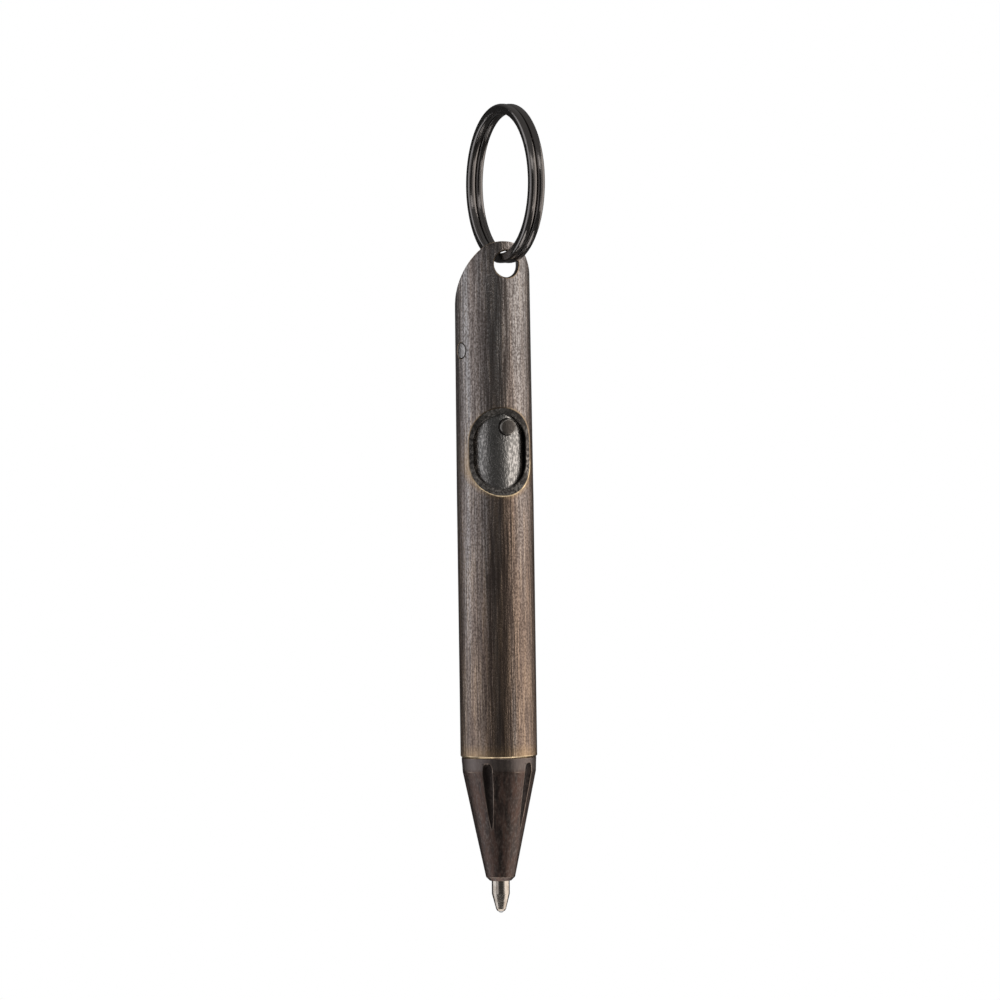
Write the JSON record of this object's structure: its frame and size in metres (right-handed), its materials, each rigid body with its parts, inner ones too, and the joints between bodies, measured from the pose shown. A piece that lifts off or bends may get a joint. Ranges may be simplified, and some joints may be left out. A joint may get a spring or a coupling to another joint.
{
  "type": "retractable ballpoint pen",
  "caption": "Pocket pen with a slanted tail, a split ring, a fluted nose cone and a sliding core held out by a sprung thumb stud in a window.",
  "frame": {"origin": "on the pen's axis at the barrel's front rim, where the barrel meets the nose cone", "axes": "+Z along the pen's axis from the tip to the ring; -Y is the way the thumb window faces"},
  "size_m": [0.01, 0.0205, 0.105],
  "materials": {
    "antiqued_brass": "antiqued dark brown to gunmetal, brushed lengthwise, rubbed bright at the edges",
    "turned_brass": "turned",
    "blackened_steel": "tumbled and blackened, mottled",
    "gunmetal_steel": "drawn wire, gunmetal plated",
    "spring_steel": "drawn, bright",
    "nickel_silver": "turned, bright",
    "carbide": "lapped",
    "nitrile_rubber": "moulded, matt"
  },
  "bodies": {
    "barrel": {"barrel": "antiqued_brass", "nose_cone": "antiqued_brass", "nose_seal": "nitrile_rubber", "cross_pin": "blackened_steel", "return_spring": "spring_steel"},
    "core": {"core_sleeve": "blackened_steel", "core_cap": "antiqued_brass", "refill_bush": "turned_brass", "refill_grip_ring": "nitrile_rubber", "latch_leaf": "spring_steel", "latch_rivet": "blackened_steel", "refill_tube": "turned_brass", "refill_tip": "nickel_silver", "writing_ball": "carbide"},
    "stud": {"thumb_stud": "blackened_steel"},
    "ring": {"split_ring": "gunmetal_steel"}
  },
  "joints": [
    {"name": "core_slide", "type": "slide", "parent": "barrel", "child": "core", "axis": [0, 0, 1], "range_m": [0, 0.0053], "deforming": ["return_spring"]},
    {"name": "stud_press", "type": "slide", "parent": "core", "child": "stud", "axis": [-0.2079, 0.9781, 0], "range_m": [0, 0.00136], "deforming": ["latch_leaf"]},
    {"name": "ring_swing", "type": "hinge", "parent": "barrel", "child": "ring", "pos_m": [0.00093, -0.00436, 0.064], "axis": [-0.2079, 0.9781, 0], "range_deg": [-115, 115]}
  ],
  "couplings": [
    {"joint": "stud_press", "follows": "core_slide", "ratio": 0.25472}
  ]
}
